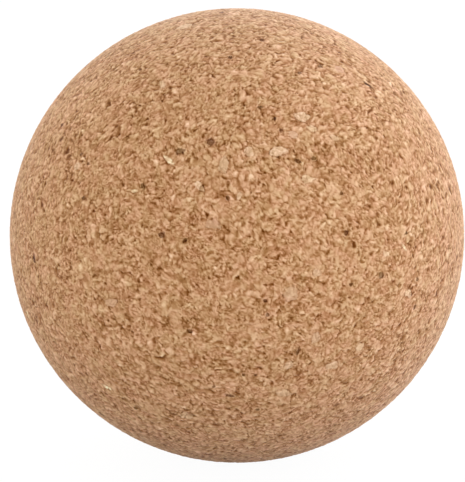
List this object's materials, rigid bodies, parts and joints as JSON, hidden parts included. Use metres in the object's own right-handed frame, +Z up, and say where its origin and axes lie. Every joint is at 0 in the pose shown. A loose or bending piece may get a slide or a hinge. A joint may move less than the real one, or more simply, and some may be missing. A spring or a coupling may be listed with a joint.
{
  "type": "massage ball",
  "caption": "Solid cork massage ball, turned and sanded from bonded cork granules, with coarse pale, tan, bark and wood granules seated flush in its surface.",
  "frame": {"origin": "the ball's centre", "axes": "+Z up; the side whose granules are placed one by one looks towards -Y and 18 degrees up"},
  "size_m": [0.065, 0.065, 0.065],
  "materials": {
    "cork": "matte",
    "pale_cork": "matte",
    "tan_cork": "matte",
    "bark": "matte",
    "sliver_wood": "matte"
  },
  "bodies": {
    "root": {"cork_body": "cork", "pale_granules": "pale_cork", "tan_granules": "tan_cork", "bark_granules": "bark", "wood_slivers": "sliver_wood"}
  },
  "joints": []
}
